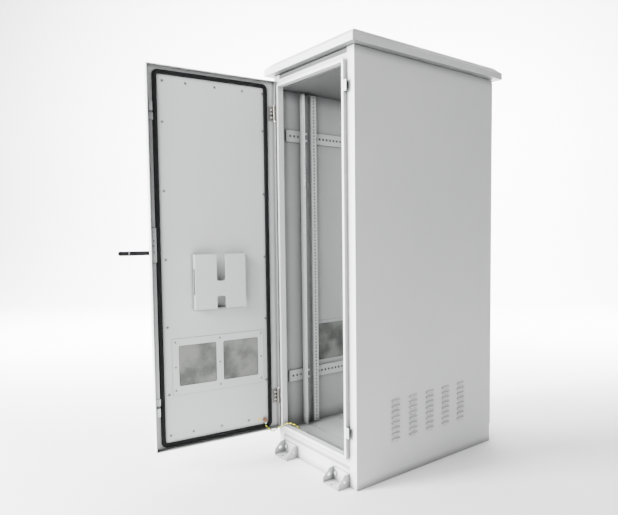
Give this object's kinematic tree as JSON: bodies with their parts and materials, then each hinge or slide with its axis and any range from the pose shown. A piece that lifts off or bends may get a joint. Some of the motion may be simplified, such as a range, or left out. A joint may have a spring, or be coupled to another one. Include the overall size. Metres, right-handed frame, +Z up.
{
  "type": "roadside utility cabinet",
  "caption": "Free-standing outdoor steel cabinet with an overhanging roof, a hinged door with a rod lock, low side vents, folded anchor feet and rack rails inside.",
  "frame": {"origin": "centre of the body's footprint at ground level", "axes": "+Z up; -Y out of the door opening; +X to the right as seen from the front; the door is hinged on the -X side and stands open"},
  "size_m": [0.7293, 1.5479, 1.775],
  "materials": {
    "outer_paint": "fine-textured satin powder coat, light grey",
    "inner_paint": "satin powder coat, light grey",
    "rail_paint": "satin powder coat, light grey",
    "zinc": "zinc plated",
    "rubber": "matt foam rubber",
    "black_plastic": "fine-grained black",
    "filter_mat": "coarse fibre mat",
    "lead_jacket": "green and yellow striped insulation",
    "lug": "tinned"
  },
  "bodies": {
    "cabinet": {"plinth_frame": "outer_paint", "base_pan": "inner_paint", "gland_plate": "inner_paint", "side_panel_left": "outer_paint", "side_panel_right": "outer_paint", "side_liner_left": "inner_paint", "side_liner_right": "inner_paint", "vent_frame_left": "inner_paint", "vent_frame_right": "inner_paint", "vent_mats": "filter_mat", "rear_panel": "outer_paint", "rear_panel_screws": "zinc", "front_frame": "outer_paint", "ceiling_panel": "inner_paint", "roof_cover": "outer_paint", "roof_spacers": "zinc", "roof_bolts": "zinc", "rack_rail_front_left": "rail_paint", "rack_rail_front_right": "rail_paint", "rack_rail_rear_left": "rail_paint", "rack_rail_rear_right": "rail_paint", "strap_low_left": "rail_paint", "strap_low_right": "rail_paint", "strap_high_left": "rail_paint", "strap_high_right": "rail_paint", "rail_bolts": "zinc", "foot_front_left": "outer_paint", "foot_front_right": "outer_paint", "foot_rear_left": "outer_paint", "foot_rear_right": "outer_paint", "foot_bolts": "zinc", "lock_strikes": "zinc", "hinge_frame_leaf_upper": "zinc", "hinge_frame_leaf_lower": "zinc", "hinge_pins": "zinc", "earth_stud_frame": "zinc", "earth_lug_frame": "lug"},
    "door": {"earth_lead": "lead_jacket", "door_shell": "outer_paint", "door_liner": "inner_paint", "door_gasket": "rubber", "door_liner_screws": "zinc", "document_holder": "inner_paint", "door_filter_frame": "inner_paint", "door_filter_mats": "filter_mat", "door_filter_screws": "zinc", "hinge_door_leaf_upper": "zinc", "hinge_door_leaf_lower": "zinc", "hinge_nuts": "zinc", "earth_stud_door": "zinc", "earth_lug_door": "lug", "lock_gearbox": "zinc", "rod_guide_upper": "zinc", "rod_guide_lower": "zinc", "handle_base": "black_plastic"},
    "upper_rod": {"lock_rod_upper": "zinc"},
    "lower_rod": {"lock_rod_lower": "zinc"},
    "handle_shaft": {"handle_spindle": "zinc"},
    "lever": {"handle_lever": "black_plastic", "handle_pin": "zinc"}
  },
  "joints": [
    {"name": "door_hinge", "type": "hinge", "parent": "cabinet", "child": "door", "pos_m": [-0.2765, -0.4245, 0.9], "axis": [0, 0, 1], "range_deg": [-12, 97], "deforming": ["earth_lead"]},
    {"name": "handle_turn", "type": "hinge", "parent": "door", "child": "handle_shaft", "pos_m": [-0.37334, -0.95062, 0.934], "axis": [0.9925, -0.1219, 0], "range_deg": [0, 90]},
    {"name": "lever_lift", "type": "hinge", "parent": "handle_shaft", "child": "lever", "pos_m": [-0.38396, -0.94932, 0.934], "axis": [0, 0, 1], "range_deg": [-25, 0]},
    {"name": "upper_rod_slide", "type": "slide", "parent": "door", "child": "upper_rod", "axis": [0, 0, 1], "range_m": [0, 0.018]},
    {"name": "lower_rod_slide", "type": "slide", "parent": "door", "child": "lower_rod", "axis": [0, 0, -1], "range_m": [0, 0.018]}
  ],
  "couplings": [
    {"joint": "upper_rod_slide", "follows": "handle_turn", "m_per_rad": 0.011459},
    {"joint": "lower_rod_slide", "follows": "handle_turn", "m_per_rad": 0.011459}
  ]
}
